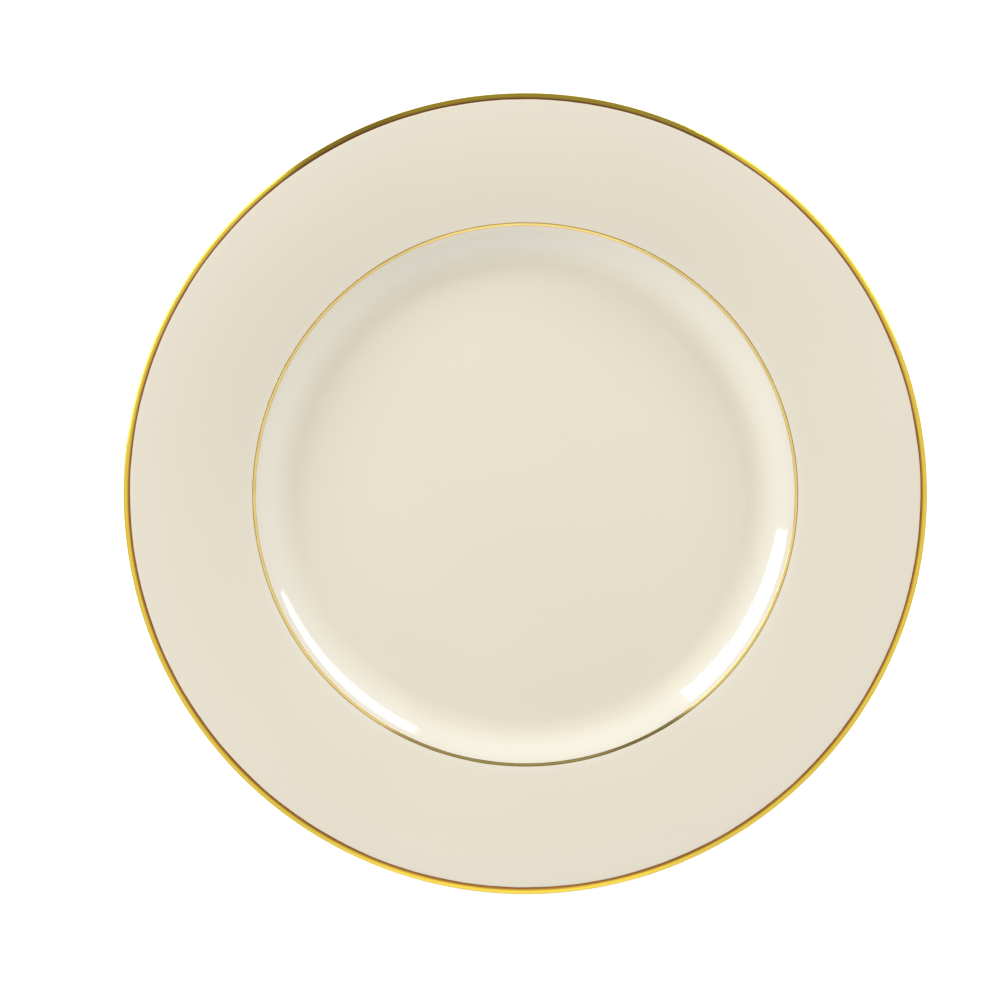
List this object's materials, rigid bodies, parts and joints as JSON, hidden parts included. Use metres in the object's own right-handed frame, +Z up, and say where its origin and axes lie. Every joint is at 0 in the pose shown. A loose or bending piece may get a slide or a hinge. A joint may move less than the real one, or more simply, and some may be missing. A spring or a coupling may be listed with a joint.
{
  "type": "dinner plate",
  "caption": "Round china dinner plate with a shallow well, a wide sloping rim, a low foot ring, a gold band round the lip and a gold line at the verge.",
  "frame": {"origin": "on the surface that the plate stands on, under the middle of the plate", "axes": "+Z up along the plate's axis of revolution, +X and +Y across it in any two square directions"},
  "size_m": [0.273, 0.273, 0.022],
  "materials": {
    "biscuit_porcelain": "bare fired porcelain, ground smooth and matt",
    "ivory_glaze": "clear glossy glaze over an ivory body",
    "recess_glaze": "clear glossy glaze, a little thinner and less even",
    "lip_gold": "burnished overglaze gold, bright",
    "line_gold": "burnished overglaze gold, thin line"
  },
  "bodies": {
    "root": {"porcelain_body": "biscuit_porcelain", "glaze_coat": "ivory_glaze", "recess_glaze": "recess_glaze", "gold_lip_band": "lip_gold", "gold_verge_line": "line_gold"}
  },
  "joints": []
}
